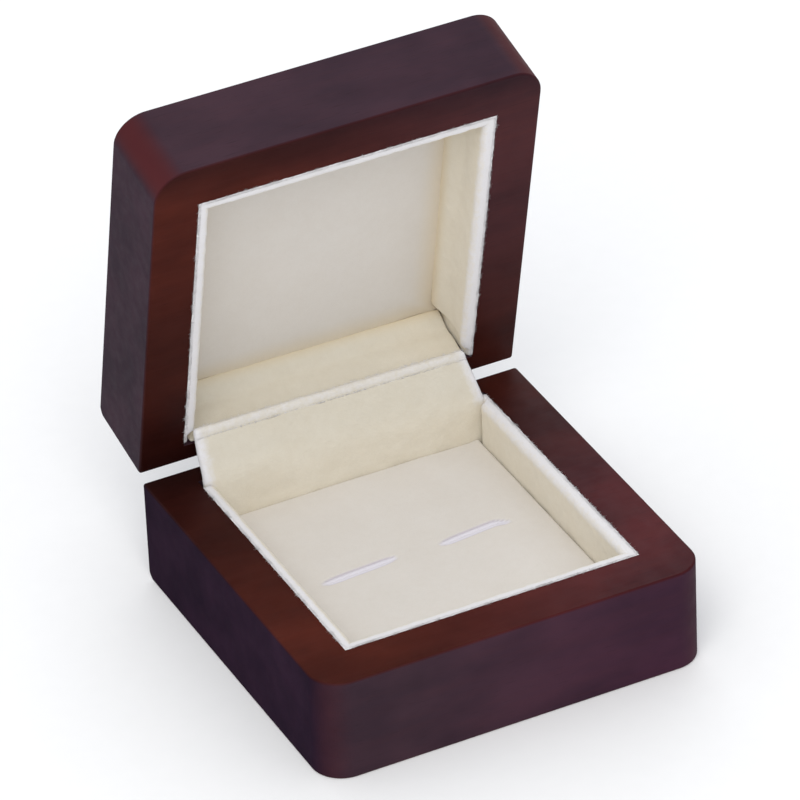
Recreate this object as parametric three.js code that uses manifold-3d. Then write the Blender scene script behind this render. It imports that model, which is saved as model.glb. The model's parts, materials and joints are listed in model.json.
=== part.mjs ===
// Wooden ring box with a velvet lining, standing with its hinged lid open.
// Millimetres. +X is to the right, +Y to the rear where the hinges are, +Z up.
// The origin is the centre of the underside of the base.
//
// Lid and flap pieces are shaped where they lie in the shut box, then turned open about their own axes.

import * as THREE from 'three';
import { mergeVertices } from 'three/addons/utils/BufferGeometryUtils.js';
import Module from 'manifold-3d';

const wasm = await Module();
wasm.setup();

// ---------------------------------------------------------------- driving dimensions

const WIDTH = 80;
const DEPTH = 77;
const BASE_HEIGHT = 21.6;
const LID_HEIGHT = 18;

const GAP = 0.3; // clearance between pieces that touch on the real box
const FRONT_CORNER_R = 6.3; // upright corners at the front
const REAR_CORNER_R = 0.6; // upright corners at the rear
const REAR_EDGE_R = 3.2; // long edge at the rear, under the base and on top of the lid
const EDGE_BREAK = 0.4; // small rounding on every other outer edge

const BASE_WALL = 9.4; // front and sides
const BASE_REAR_WALL = 4.7;
const BASE_POCKET = 18.2; // depth of the pocket below the rim
const LID_WALL = 9.15;
const LID_REAR_WALL = 4;
const LID_POCKET = 13.6;

const LINER_T = 2; // velvet covered boards round both pockets
const LINER_DROP = 0.2; // their edges lie this far inside the rims
const MITRE = 0.15; // what each board gives up at a mitred corner
const LID_REAR_LINER_T = 1;
const LID_PANEL_T = 1.6;

const PAD_TOP = 8.4; // depth of the ring pad's face below the rim
const PAD_CARD_T = 1;
const SLIT_LENGTH = 15.4;
const SLIT_WIDTH = 1.2;
const SLIT_DEPTH = 6;
const SLIT_X = 12.4; // each slit's centre, left and right of the middle
const SLIT_BACK = 0.9; // how far the slits lie behind the pad's middle

const FELT_T = 0.8;
const FELT_INSET = 5;

const OPEN_ANGLE = THREE.MathUtils.degToRad(77); // from shut to the open rest
const FLAP_RATIO = 0.5; // how far the flap folds for each degree of the lid
const FLAP_FRONT = 6.7; // from the rear face to the front of the flap's fixed board
const FLAP_CREASE = 5.85; // from the rear face to the line that the flap folds on
const FLAP_T = 1.5;
const FLAP_HEIGHT = 8; // above the base's rim when it stands upright
const FLAP_HALF_WIDTH = 28.2;

const HINGE_X = 17; // centre of each hinge, left and right of the middle
const HINGE_LENGTH = 18;
const KNUCKLE_R = 1.5;
const PIN_R = 0.6;
const PIN_BORE_R = 0.75;
const PIVOT_BACK = 1.25; // the pins lie this far behind the rear face, level with the base's rim
const CENTRE_KNUCKLE = 8; // length of the lid leaf's one knuckle
const LEAF_T = 0.8;
const LEAF_DEPTH = 3.3;
const CAM_FLAT = 1.25; // from the pin's axis to the flats that the snap spring holds
const SPRING_T = 0.4;
const TONGUE_WIDTH = 5.2;

const SCREW_X = 6; // from the hinge's centre to each screw
const SCREW_IN = 1.95; // from the rear face to the screws
const SCREW_HEAD_R = 0.9;
const SCREW_SHANK_R = 0.45;
const SCREW_LENGTH = 5;
const SCREW_HEAD_H = 0.55;

// ---------------------------------------------------------------- places worked out from them

const REAR = DEPTH / 2;
const FRONT = -DEPTH / 2;
const RIM = BASE_HEIGHT;
const LID_RIM = RIM + GAP;
const PIVOT = new THREE.Vector3(0, REAR + PIVOT_BACK, RIM);
const CREASE = new THREE.Vector3(0, REAR - FLAP_CREASE, RIM);
const BASE_FLOOR = RIM - BASE_POCKET;
const LINER_BACKING = 0.2; // between a board and the wood behind it

// ---------------------------------------------------------------- materials

function finish(color, roughness, metalness = 0) {
  return new THREE.MeshStandardMaterial({ color, roughness, metalness });
}

const mahogany = () => finish(0x3c1a17, 0.42);
const velvet = () => finish(0xe6dfca, 0.95);
const card = () => finish(0xbfae8c, 0.9);
const felt = () => finish(0x2b1714, 1);
const brass = () => finish(0xb08d4c, 0.35, 1);
const steel = () => finish(0x9a9a98, 0.3, 1);

// ---------------------------------------------------------------- solids

// A closed mesh as a solid that can be joined and cut.
function solid(geometry) {
  const bare = geometry.index ? geometry.toNonIndexed() : geometry.clone();
  bare.deleteAttribute('normal');
  bare.deleteAttribute('uv');
  const merged = mergeVertices(bare, 1e-4);
  return new wasm.Manifold(
    new wasm.Mesh({
      numProp: 3,
      vertProperties: new Float32Array(merged.attributes.position.array),
      triVerts: new Uint32Array(merged.index.array),
    }),
  );
}

function toGeometry(body) {
  const mesh = body.getMesh();
  const geometry = new THREE.BufferGeometry();
  geometry.setAttribute('position', new THREE.BufferAttribute(mesh.vertProperties, 3));
  geometry.setIndex(new THREE.BufferAttribute(mesh.triVerts, 1));
  geometry.computeVertexNormals();
  return geometry;
}

function named(name, body, material) {
  const mesh = new THREE.Mesh(toGeometry(body), material);
  mesh.name = name;
  return mesh;
}

// A box from its lowest to its highest corner.
function block(low, high) {
  const size = high.map((value, axis) => value - low[axis]);
  const middle = high.map((value, axis) => (value + low[axis]) / 2);
  return solid(new THREE.BoxGeometry(...size).translate(...middle));
}

// An outline in X and Y, raised from z = low to z = high.
function upright(shape, low, high, options = {}) {
  const geometry = new THREE.ExtrudeGeometry(shape, {
    depth: high - low,
    bevelEnabled: false,
    curveSegments: 10,
    ...options,
  });
  return solid(geometry.translate(0, 0, low));
}

// An outline in Y and Z, carried from x = low to x = high.
function lengthwise(shape, low, high) {
  const geometry = new THREE.ExtrudeGeometry(shape, {
    depth: high - low,
    bevelEnabled: false,
    curveSegments: 12,
  });
  geometry.rotateY(Math.PI / 2).rotateX(Math.PI / 2);
  return solid(geometry.translate(low, 0, 0));
}

function polygon(points) {
  return new THREE.Shape(points.map(([a, b]) => new THREE.Vector2(a, b)));
}

// A round bar along X, centred on (y, z).
function barAlongX(radius, low, high, y, z) {
  const geometry = new THREE.CylinderGeometry(radius, radius, high - low, 24);
  geometry.rotateZ(Math.PI / 2);
  return solid(geometry.translate((low + high) / 2, y, z));
}

// ---------------------------------------------------------------- wooden blocks

// The plan of both blocks: large rounds at the front corners, small ones at the rear.
function planShape() {
  const x = WIDTH / 2;
  const shape = new THREE.Shape();
  shape.moveTo(-x + FRONT_CORNER_R, FRONT);
  shape.lineTo(x - FRONT_CORNER_R, FRONT);
  shape.absarc(x - FRONT_CORNER_R, FRONT + FRONT_CORNER_R, FRONT_CORNER_R, -Math.PI / 2, 0);
  shape.lineTo(x, REAR - REAR_CORNER_R);
  shape.absarc(x - REAR_CORNER_R, REAR - REAR_CORNER_R, REAR_CORNER_R, 0, Math.PI / 2);
  shape.lineTo(-x + REAR_CORNER_R, REAR);
  shape.absarc(-x + REAR_CORNER_R, REAR - REAR_CORNER_R, REAR_CORNER_R, Math.PI / 2, Math.PI);
  shape.lineTo(-x, FRONT + FRONT_CORNER_R);
  shape.absarc(-x + FRONT_CORNER_R, FRONT + FRONT_CORNER_R, FRONT_CORNER_R, Math.PI, 1.5 * Math.PI);
  return shape;
}

function roundedBlock(low, high) {
  return upright(planShape(), low + EDGE_BREAK, high - EDGE_BREAK, {
    bevelEnabled: true,
    bevelThickness: EDGE_BREAK,
    bevelSize: EDGE_BREAK,
    bevelOffset: -EDGE_BREAK,
    bevelSegments: 2,
  });
}

// What is taken off a long rear edge to round it: outer is +1 for a top edge, -1 for a bottom one.
function rearEdgeWaste(edgeZ, outer) {
  const centreY = REAR - REAR_EDGE_R;
  const centreZ = edgeZ - outer * REAR_EDGE_R;
  const spare = 1;
  const square = block(
    [-WIDTH, centreY, Math.min(centreZ, edgeZ + outer * spare)],
    [WIDTH, REAR + spare, Math.max(centreZ, edgeZ + outer * spare)],
  );
  return square.subtract(barAlongX(REAR_EDGE_R, -WIDTH - spare, WIDTH + spare, centreY, centreZ));
}

function pocket(wall, rearWall, low, high) {
  const x = WIDTH / 2 - wall;
  return block([-x, FRONT + wall, low], [x, REAR - rearWall, high]);
}

// The recess for a hinge in one rim: side is -1 when it goes down into the base, +1 when up into the lid.
function leafMortise(x, rim, side, depth) {
  const halfLength = HINGE_LENGTH / 2 + GAP;
  const edges = [rim + side * depth, rim - side];
  const plate = block(
    [x - halfLength, REAR - LEAF_DEPTH - GAP, Math.min(...edges)],
    [x + halfLength, REAR + 1, Math.max(...edges)],
  );
  return plate.add(barAlongX(KNUCKLE_R + GAP, x - halfLength, x + halfLength, PIVOT.y, PIVOT.z));
}

function screwHole(x, rim, side) {
  const depth = SCREW_LENGTH + GAP;
  const geometry = new THREE.CylinderGeometry(SCREW_SHANK_R + GAP, SCREW_SHANK_R + GAP, depth, 16);
  geometry.rotateX(Math.PI / 2);
  return solid(geometry.translate(x, REAR - SCREW_IN, rim + (side * depth) / 2));
}

function hingeWaste(rim, side, depth) {
  let waste = leafMortise(HINGE_X, rim, side, depth).add(leafMortise(-HINGE_X, rim, side, depth));
  for (const hingeX of [-HINGE_X, HINGE_X]) {
    for (const offset of [-SCREW_X, SCREW_X]) {
      waste = waste.add(screwHole(hingeX + offset, rim, side));
    }
  }
  return waste;
}

// Room under each centre knuckle for the tongue of the snap spring.
function tongueChannel(x) {
  const halfWidth = TONGUE_WIDTH / 2 + GAP;
  return block(
    [x - halfWidth, REAR - LEAF_DEPTH - GAP, RIM - 2.7],
    [x + halfWidth, REAR + 1, RIM + 1],
  );
}

function feltShape(clearance) {
  const x = WIDTH / 2 - FELT_INSET + clearance;
  const y = DEPTH / 2 - FELT_INSET + clearance;
  return polygon([[-x, -y], [x, -y], [x, y], [-x, y]]);
}

function baseBlock() {
  const springSeat = LEAF_T + GAP + SPRING_T + GAP;
  const body = roundedBlock(0, RIM)
    .subtract(rearEdgeWaste(0, -1))
    .subtract(pocket(BASE_WALL, BASE_REAR_WALL, BASE_FLOOR, RIM + 1))
    .subtract(upright(feltShape(GAP), -1, FELT_T + GAP))
    .subtract(hingeWaste(RIM, -1, springSeat))
    .subtract(tongueChannel(HINGE_X))
    .subtract(tongueChannel(-HINGE_X));
  return named('base_block', body, mahogany());
}

function baseFelt() {
  return named('base_felt', upright(feltShape(0), 0, FELT_T), felt());
}

function lidBlock() {
  const top = LID_RIM + LID_HEIGHT;
  const body = roundedBlock(LID_RIM, top)
    .subtract(rearEdgeWaste(top, 1))
    .subtract(pocket(LID_WALL, LID_REAR_WALL, LID_RIM - 1, LID_RIM + LID_POCKET))
    .subtract(hingeWaste(LID_RIM, 1, LEAF_T + GAP));
  return named('lid_block', body, mahogany());
}

// ---------------------------------------------------------------- velvet covered boards

// Front board of a pocket, mitred at both ends. outerX and outerY are its wooden side.
function frontLiner(name, outerX, outerY, low, high) {
  const long = outerX - MITRE;
  const short = long - LINER_T;
  const shape = polygon([
    [-long, outerY],
    [long, outerY],
    [short, outerY + LINER_T],
    [-short, outerY + LINER_T],
  ]);
  return named(name, upright(shape, low, high), velvet());
}

// Side board of a pocket, mitred at the front. side is -1 at the left, +1 at the right.
function sideLiner(name, side, outerX, outerY, rearY, low, high) {
  const outline = [
    [side * outerX, outerY + MITRE],
    [side * outerX, rearY],
    [side * (outerX - LINER_T), rearY],
    [side * (outerX - LINER_T), outerY + LINER_T + MITRE],
  ];
  if (side < 0) {
    outline.reverse();
  }
  return named(name, upright(polygon(outline), low, high), velvet());
}

function baseLiners() {
  const outerX = WIDTH / 2 - BASE_WALL - LINER_BACKING;
  const outerY = FRONT + BASE_WALL + LINER_BACKING;
  const rearY = REAR - FLAP_FRONT - GAP;
  const low = BASE_FLOOR + GAP;
  const high = RIM - LINER_DROP;
  return [
    frontLiner('base_liner_front', outerX, outerY, low, high),
    sideLiner('base_liner_left', -1, outerX, outerY, rearY, low, high),
    sideLiner('base_liner_right', 1, outerX, outerY, rearY, low, high),
  ];
}

function lidLiners() {
  const outerX = WIDTH / 2 - LID_WALL - LINER_BACKING;
  const outerY = FRONT + LID_WALL + LINER_BACKING;
  const low = LID_RIM + LINER_DROP;
  const high = LID_RIM + LID_POCKET - LID_PANEL_T - 2 * GAP;
  const rearFace = REAR - LID_REAR_WALL - LINER_BACKING;
  const between = outerX - LINER_T - GAP;
  const rear = block([-between, rearFace - LID_REAR_LINER_T, low], [between, rearFace, high]);
  return [
    frontLiner('lid_liner_front', outerX, outerY, low, high),
    sideLiner('lid_liner_left', -1, outerX, outerY, rearFace, low, high),
    sideLiner('lid_liner_right', 1, outerX, outerY, rearFace, low, high),
    named('lid_liner_rear', rear, velvet()),
  ];
}

// The board across the inside of the lid's top.
function lidPanel() {
  const x = WIDTH / 2 - LID_WALL - LINER_BACKING;
  const front = FRONT + LID_WALL + LINER_BACKING;
  const rear = REAR - LID_REAR_WALL - LINER_BACKING;
  const high = LID_RIM + LID_POCKET - GAP;
  return named('lid_panel', block([-x, front, high - LID_PANEL_T], [x, rear, high]), velvet());
}

// ---------------------------------------------------------------- ring pad

const PAD_X = WIDTH / 2 - BASE_WALL - LINER_BACKING - LINER_T - GAP;
const PAD_FRONT = FRONT + BASE_WALL + LINER_BACKING + LINER_T + GAP;
const PAD_REAR = REAR - FLAP_FRONT - GAP;
const PAD_CARD_LOW = BASE_FLOOR + GAP;
const PAD_LOW = PAD_CARD_LOW + PAD_CARD_T + GAP;

// Foam pad with the two slits that hold the rings.
function ringPad() {
  const high = RIM - PAD_TOP;
  const y = (PAD_FRONT + PAD_REAR) / 2 + SLIT_BACK;
  let body = block([-PAD_X, PAD_FRONT, PAD_LOW], [PAD_X, PAD_REAR, high]);
  for (const x of [-SLIT_X, SLIT_X]) {
    body = body.subtract(
      block(
        [x - SLIT_LENGTH / 2, y - SLIT_WIDTH / 2, high - SLIT_DEPTH],
        [x + SLIT_LENGTH / 2, y + SLIT_WIDTH / 2, high + 1],
      ),
    );
  }
  return named('ring_pad', body, velvet());
}

function padCard() {
  const body = block([-PAD_X, PAD_FRONT, PAD_CARD_LOW], [PAD_X, PAD_REAR, PAD_CARD_LOW + PAD_CARD_T]);
  return named('pad_card', body, card());
}

// ---------------------------------------------------------------- flap that hides the hinges

// The part that stands in the base pocket, against the rear wall.
function flapFixedBoard() {
  const x = WIDTH / 2 - BASE_WALL - GAP;
  const body = block(
    [-x, REAR - FLAP_FRONT, BASE_FLOOR + GAP],
    [x, REAR - BASE_REAR_WALL - GAP, RIM - GAP],
  );
  return named('flap_fixed_board', body, velvet());
}

// The part that folds with the lid. Upright, it clears the lid's rear board by one gap.
function flapFoldingBoard() {
  const back = REAR - LID_REAR_WALL - LINER_BACKING - LID_REAR_LINER_T - GAP;
  const body = block(
    [-FLAP_HALF_WIDTH, back - FLAP_T, RIM + GAP],
    [FLAP_HALF_WIDTH, back, RIM + FLAP_HEIGHT],
  );
  return named('flap_folding_board', body, velvet());
}

// ---------------------------------------------------------------- hinges

// A knuckle round the pin with the neck that joins it to a leaf lying from z = low to z = high.
function knuckle(lowX, highX, low, high) {
  const neck = block([lowX, REAR - LEAF_DEPTH, low], [highX, PIVOT.y, high]);
  return neck.add(barAlongX(KNUCKLE_R, lowX, highX, PIVOT.y, PIVOT.z));
}

function leafPlate(x, low, high) {
  const rear = PIVOT.y - KNUCKLE_R - GAP;
  return block(
    [x - HINGE_LENGTH / 2, REAR - LEAF_DEPTH, low],
    [x + HINGE_LENGTH / 2, rear, high],
  );
}

function pinBore(x) {
  return barAlongX(PIN_BORE_R, x - HINGE_LENGTH, x + HINGE_LENGTH, PIVOT.y, PIVOT.z);
}

// A countersunk hole with its wide end on the rim side of a leaf.
function countersink(x, rim, side) {
  const mouth = SCREW_HEAD_R + 0.2;
  const throat = SCREW_SHANK_R + 0.2;
  const geometry = new THREE.CylinderGeometry(mouth, throat, SCREW_HEAD_H, 20);
  geometry.rotateX((-side * Math.PI) / 2);
  geometry.translate(x, REAR - SCREW_IN, rim + (side * SCREW_HEAD_H) / 2);
  const through = new THREE.CylinderGeometry(throat, throat, 4, 20).rotateX(Math.PI / 2);
  return solid(geometry).add(solid(through.translate(x, REAR - SCREW_IN, rim)));
}

function drilled(body, x, rim, side) {
  return body
    .subtract(pinBore(x))
    .subtract(countersink(x - SCREW_X, rim, side))
    .subtract(countersink(x + SCREW_X, rim, side));
}

// Base leaf: two knuckles, one at each end.
function baseLeaf(name, x) {
  const low = RIM - LEAF_T;
  const end = HINGE_LENGTH / 2;
  const inner = CENTRE_KNUCKLE / 2 + GAP;
  const body = leafPlate(x, low, RIM)
    .add(knuckle(x - end, x - inner, low, RIM))
    .add(knuckle(x + inner, x + end, low, RIM));
  return named(name, drilled(body, x, RIM, -1), brass());
}

// The flats on the centre knuckle face down when the lid is shut and when it is open.
function camFlat(x, angle) {
  const geometry = new THREE.BoxGeometry(CENTRE_KNUCKLE + 1, 2 * KNUCKLE_R, KNUCKLE_R);
  geometry.translate(0, 0, -CAM_FLAT - KNUCKLE_R / 2).rotateX(angle);
  return solid(geometry.translate(x, PIVOT.y, PIVOT.z));
}

// Lid leaf: one knuckle in the middle.
function lidLeaf(name, x) {
  const high = LID_RIM + LEAF_T;
  const half = CENTRE_KNUCKLE / 2;
  const body = leafPlate(x, LID_RIM, high)
    .add(knuckle(x - half, x + half, LID_RIM, high))
    .subtract(camFlat(x, 0))
    .subtract(camFlat(x, OPEN_ANGLE));
  return named(name, drilled(body, x, LID_RIM, 1), brass());
}

function hingePin(name, x) {
  const length = HINGE_LENGTH + 0.4;
  const dome = 0.2;
  const profile = [
    new THREE.Vector2(0, -length / 2),
    new THREE.Vector2(PIN_R - dome, -length / 2),
    new THREE.Vector2(PIN_R, -length / 2 + dome),
    new THREE.Vector2(PIN_R, length / 2 - dome),
    new THREE.Vector2(PIN_R - dome, length / 2),
    new THREE.Vector2(0, length / 2),
  ];
  const geometry = new THREE.LatheGeometry(profile, 16).rotateZ(Math.PI / 2);
  return named(name, solid(geometry.translate(x, PIVOT.y, PIVOT.z)), steel());
}

// Snap spring: a plate held under the base leaf by its screws, with a tongue that passes below the cam.
function snapSpring(name, x) {
  const top = RIM - LEAF_T - GAP;
  const bottom = top - SPRING_T;
  const tongueTop = RIM - KNUCKLE_R - 0.4;
  const tongueBottom = tongueTop - SPRING_T;
  const root = block(
    [x - HINGE_LENGTH / 2, REAR - LEAF_DEPTH, bottom],
    [x + HINGE_LENGTH / 2, REAR - GAP - 0.5, top],
  );
  const bend = REAR - 0.9;
  const level = REAR + 0.3;
  const tip = PIVOT.y + 1.1;
  const profile = polygon([
    [REAR - 1.6, bottom],
    [bend, bottom],
    [level, tongueBottom],
    [tip, tongueBottom],
    [tip + 0.6, tongueBottom + 0.3],
    [tip + 0.5, tongueTop + 0.3],
    [tip, tongueTop],
    [level, tongueTop],
    [bend, top],
    [REAR - 1.6, top],
  ]);
  const tongue = lengthwise(profile, x - TONGUE_WIDTH / 2, x + TONGUE_WIDTH / 2);
  let body = root.subtract(barAlongX(KNUCKLE_R + GAP, x - HINGE_LENGTH, x + HINGE_LENGTH, PIVOT.y, PIVOT.z));
  body = body.add(tongue);
  for (const offset of [-SCREW_X, SCREW_X]) {
    body = body.subtract(screwHole(x + offset, RIM, -1));
  }
  return named(name, body, steel());
}

// Countersunk wood screw with its head level with the rim: side is -1 to point down, +1 to point up.
function screw(name, x, rim, side) {
  const tip = 1;
  const profile = [
    new THREE.Vector2(0, -SCREW_LENGTH),
    new THREE.Vector2(SCREW_SHANK_R, -SCREW_LENGTH + tip),
    new THREE.Vector2(SCREW_SHANK_R, -SCREW_HEAD_H),
    new THREE.Vector2(SCREW_HEAD_R, 0),
    new THREE.Vector2(0, 0),
  ];
  const geometry = new THREE.LatheGeometry(profile, 16).rotateX(Math.PI / 2);
  const slotWidth = 0.25;
  const slot = block([-2, -slotWidth / 2, -slotWidth], [2, slotWidth / 2, 1]);
  const turned = toGeometry(solid(geometry).subtract(slot));
  if (side > 0) {
    turned.rotateX(Math.PI);
  }
  return named(name, solid(turned.translate(x, REAR - SCREW_IN, rim)), brass());
}

const HINGES = [
  ['left', -HINGE_X],
  ['right', HINGE_X],
];

function screws(owner, rim, side) {
  return HINGES.flatMap(([label, x]) => [
    screw(`${owner}_screw_${label}_outer`, x + Math.sign(x) * SCREW_X, rim, side),
    screw(`${owner}_screw_${label}_inner`, x - Math.sign(x) * SCREW_X, rim, side),
  ]);
}

// ---------------------------------------------------------------- assembly

// Pieces shaped in the shut box, turned open by an angle about an axis along X through a point.
function turnedOpen(point, angle, meshes) {
  const pivot = new THREE.Group();
  pivot.position.copy(point);
  pivot.rotation.x = -angle;
  const shut = new THREE.Group();
  shut.position.copy(point).negate();
  shut.add(...meshes);
  pivot.add(shut);
  return pivot;
}

const base = new THREE.Group();
base.add(
  baseBlock(),
  baseFelt(),
  ...baseLiners(),
  padCard(),
  ringPad(),
  flapFixedBoard(),
  ...HINGES.map(([label, x]) => baseLeaf(`hinge_base_leaf_${label}`, x)),
  ...HINGES.map(([label, x]) => snapSpring(`hinge_snap_spring_${label}`, x)),
  ...HINGES.map(([label, x]) => hingePin(`hinge_pin_${label}`, x)),
  ...screws('base', RIM, -1),
);

const lid = turnedOpen(PIVOT, OPEN_ANGLE, [
  lidBlock(),
  ...lidLiners(),
  lidPanel(),
  ...HINGES.map(([label, x]) => lidLeaf(`hinge_lid_leaf_${label}`, x)),
  ...screws('lid', LID_RIM, 1),
]);

const flap = turnedOpen(CREASE, OPEN_ANGLE * FLAP_RATIO, [flapFoldingBoard()]);

const ringBox = new THREE.Group();
ringBox.add(base, lid, flap);

export default ringBox;
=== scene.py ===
"""A mahogany ring box lined in cream velvet, standing with its lid open. Metres, +Z up, front at -Y."""

import json
import math
import random

import bmesh
import bpy
import numpy as np
from mathutils import Matrix, Vector, noise


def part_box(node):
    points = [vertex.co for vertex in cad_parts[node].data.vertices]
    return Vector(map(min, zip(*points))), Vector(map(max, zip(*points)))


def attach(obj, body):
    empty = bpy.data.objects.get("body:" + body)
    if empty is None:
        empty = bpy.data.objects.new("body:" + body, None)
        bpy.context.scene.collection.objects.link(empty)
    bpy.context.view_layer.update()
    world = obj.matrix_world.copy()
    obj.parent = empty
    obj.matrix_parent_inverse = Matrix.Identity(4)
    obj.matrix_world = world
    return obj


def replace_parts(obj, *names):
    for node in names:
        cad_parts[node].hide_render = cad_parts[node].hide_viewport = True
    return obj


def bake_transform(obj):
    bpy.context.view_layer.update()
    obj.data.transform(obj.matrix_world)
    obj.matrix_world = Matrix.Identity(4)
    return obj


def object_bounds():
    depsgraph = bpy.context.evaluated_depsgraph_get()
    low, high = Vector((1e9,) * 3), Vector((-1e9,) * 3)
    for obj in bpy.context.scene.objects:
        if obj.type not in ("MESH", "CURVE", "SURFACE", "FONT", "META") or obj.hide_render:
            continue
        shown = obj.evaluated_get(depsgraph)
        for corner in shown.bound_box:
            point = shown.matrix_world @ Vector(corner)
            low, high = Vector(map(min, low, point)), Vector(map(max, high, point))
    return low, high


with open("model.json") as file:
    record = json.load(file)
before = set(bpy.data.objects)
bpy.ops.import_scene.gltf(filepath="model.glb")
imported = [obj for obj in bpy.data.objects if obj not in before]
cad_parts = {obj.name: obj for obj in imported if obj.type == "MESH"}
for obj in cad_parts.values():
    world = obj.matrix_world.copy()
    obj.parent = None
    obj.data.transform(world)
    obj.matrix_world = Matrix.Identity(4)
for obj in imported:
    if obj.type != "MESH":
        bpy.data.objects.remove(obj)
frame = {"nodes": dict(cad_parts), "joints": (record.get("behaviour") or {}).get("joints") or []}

CAD_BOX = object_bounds()
MM = 0.001
SEED = 7

# Driving dimensions that the frame's boxes don't say.
FRONT_CORNER_R = 6.3 * MM
REAR_CORNER_R = 0.6 * MM
REAR_EDGE_R = 3.2 * MM  # the long rear edges, under the base and on top of the lid
EDGE_BREAK = 0.45 * MM
CLEARANCE = 0.3 * MM  # left in the wood round the pieces that are let into it
LINER_GAP = 0.2 * MM  # the CAD boards stand this far from the wood
BOARD_T = 2.4 * MM  # a velvet covered board, pile included
BOARD_GAP = 0.02 * MM  # left between a velvet covered board and the wood
PROUD = 0.05 * MM  # how far the pile stands above the rims
WHITE_BAND = 0.85 * MM  # how far the painted white sheen of the pile reaches down from a board's edge
WOOD_SIDE_R = 0.3 * MM  # a board's edge is rounded by this next to the wood, and more towards the room
ROOM_SIDE_R = 1.15 * MM
BOARD_END_R = 0.6 * MM  # rounding of a board's free end
BOARD_STEP = 0.4 * MM  # spacing of a board's cross sections
SPILL = 0.16 * MM  # how far the pile lies over the wooden rim, give or take
LIP = (0.042 * MM, 0.08 * MM)  # depths below the edge over which that spill ends
THIN_FROM = 2.9 * MM  # a thinned board starts to lose thickness this far from its end
THIN_OVER = 1.0 * MM
THIN_EARLIER = 2.3 * MM  # how much sooner it does so deep in the lid, where the flap goes as the lid shuts
FILLET = 6.0 * MM  # height over which a lid board swells into its corner with the panel
REAR_FILLET = 4.6 * MM  # the same for the rear board, which leaves room for the flap
RIM_ZONE = (0.5 * MM, 0.2 * MM)  # across and below: where the pile lies flat over the rim
FIBRE_R = (0.024 * MM, 0.05 * MM)
FIBRE_RISE = 0.11 * MM  # how far a fibre's tip rises, at most
CLOTH_FRAMES = 20
SHARP_WOOD, SHARP_VELVET = 28, 38  # degrees from which an edge is shaded sharp
KNUCKLE_R = 1.5 * MM
LEAF_SEAT = {1: 1.1 * MM, -1: 1.8 * MM}  # depth of a hinge's seat in the lid, and in the base with its spring
FLAP_T = 1.8 * MM
FLAP_BEND = 3.2 * MM  # how far below the rim the flap starts to lean back
FLAP_RISE = 12.9 * MM  # length of the flap above that, on the right
FLAP_LIFT = 0.8 * MM  # how much longer it is on the left
FLAP_LEAN = 33  # degrees, at its steepest
FLAP_TOP_LEAN = 26
FLAP_BAND = 1.8 * MM  # depth of the rolled hem along the flap's top
FLAP_ENDS = {  # how far in each end is at the rim, and how much further at the top
    -1: (0.3 * MM, 0.7 * MM),
    1: (0.5 * MM, 1.7 * MM),
}
SLIT_WIDTH = 1.95 * MM
# Each slit's middle from the pad's own, its length, its turn in degrees, and how far its right end hooks back
# towards the front.
SLITS = (
    (-12.1 * MM, 0.15 * MM, 16.4 * MM, 4.0, 0.0),
    (12.4 * MM, 1.0 * MM, 15.4 * MM, 6.5, 1.3 * MM),
)

# How much painted shade the end grain takes, how much painted red highlight the upright corners take, and how
# much painted shade the rim takes along its front edge.
BASE_LIGHT_MARKS = (1.0, 0.1, 0.35)
LID_LIGHT_MARKS = (0.5, 1.0, 0.9)

# Camera, in degrees and metres, aimed from the box's centre.
CAMERA_AZIMUTH = 25.41
CAMERA_ELEVATION = 33.83
CAMERA_ROLL = -2.56
CAMERA_DISTANCE = 1.318
CAMERA_LENS = 318.0
CAMERA_AIM = Vector((-0.44, -2.8, -4.8)) * MM


# ---------------------------------------------------------------- places from the frame


def turn_about(point, degrees):
    """A turn about an axis along X through a point."""
    centre = Matrix.Translation(Vector(point))
    return centre @ Matrix.Rotation(math.radians(degrees), 4, "X") @ centre.inverted()


HINGE = next(joint for joint in frame["joints"] if joint["name"] == "lid_hinge")
SHUT_ANGLE = HINGE["range_deg"][1]
LID_OPEN = turn_about(HINGE["pos_m"], -SHUT_ANGLE)
LID_SHUT = LID_OPEN.inverted()


def shut_box(node):
    """(lowest corner, highest corner) of a lid node, turned to where it lies in the shut box."""
    points = [LID_SHUT @ v.co for v in frame["nodes"][node].data.vertices]
    low = Vector([min(p[i] for p in points) for i in range(3)])
    high = Vector([max(p[i] for p in points) for i in range(3)])
    return low, high


BASE_LOW, BASE_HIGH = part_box("base_block")
LID_LOW, LID_HIGH = shut_box("lid_block")
RIM = BASE_HIGH.z
LID_RIM = LID_LOW.z


# ---------------------------------------------------------------- mesh helpers


def mesh_object(name, verts, faces, material):
    mesh = bpy.data.meshes.new(name)
    mesh.from_pydata([tuple(v) for v in verts], [], faces)
    mesh.update()
    obj = bpy.data.objects.new(name, mesh)
    bpy.context.scene.collection.objects.link(obj)
    mesh.materials.append(material)
    mesh.shade_smooth()
    return obj


def loft(rings):
    """Points and faces of a closed body through rings of the same number of points, capped at both ends."""
    count = len(rings[0])
    verts = [p for ring in rings for p in ring]
    faces = []
    for r in range(len(rings) - 1):
        for i in range(count):
            a = r * count + i
            b = r * count + (i + 1) % count
            faces.append((a, b, b + count, a + count))
    faces.append(tuple(reversed(range(count))))
    last = (len(rings) - 1) * count
    faces.append(tuple(last + i for i in range(count)))
    return verts, faces


def face_outward(obj):
    bm = bmesh.new()
    bm.from_mesh(obj.data)
    bmesh.ops.recalc_face_normals(bm, faces=bm.faces)
    bm.to_mesh(obj.data)
    bm.free()
    obj.data.update()


def grid_lines(low, high, radius, step, arc_steps=4):
    """Places along one side of a rounded box: close together over the rounded ends, step apart between."""
    arc = [radius * (1 - math.tan(math.pi / 4 * (arc_steps - i) / arc_steps)) for i in range(arc_steps + 1)]
    inner_low, inner_high = low + radius, high - radius
    count = max(1, round((inner_high - inner_low) / step))
    between = [inner_low + (inner_high - inner_low) * i / count for i in range(1, count)]
    return [low + a for a in arc] + between + [high - a for a in reversed(arc)]


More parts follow.
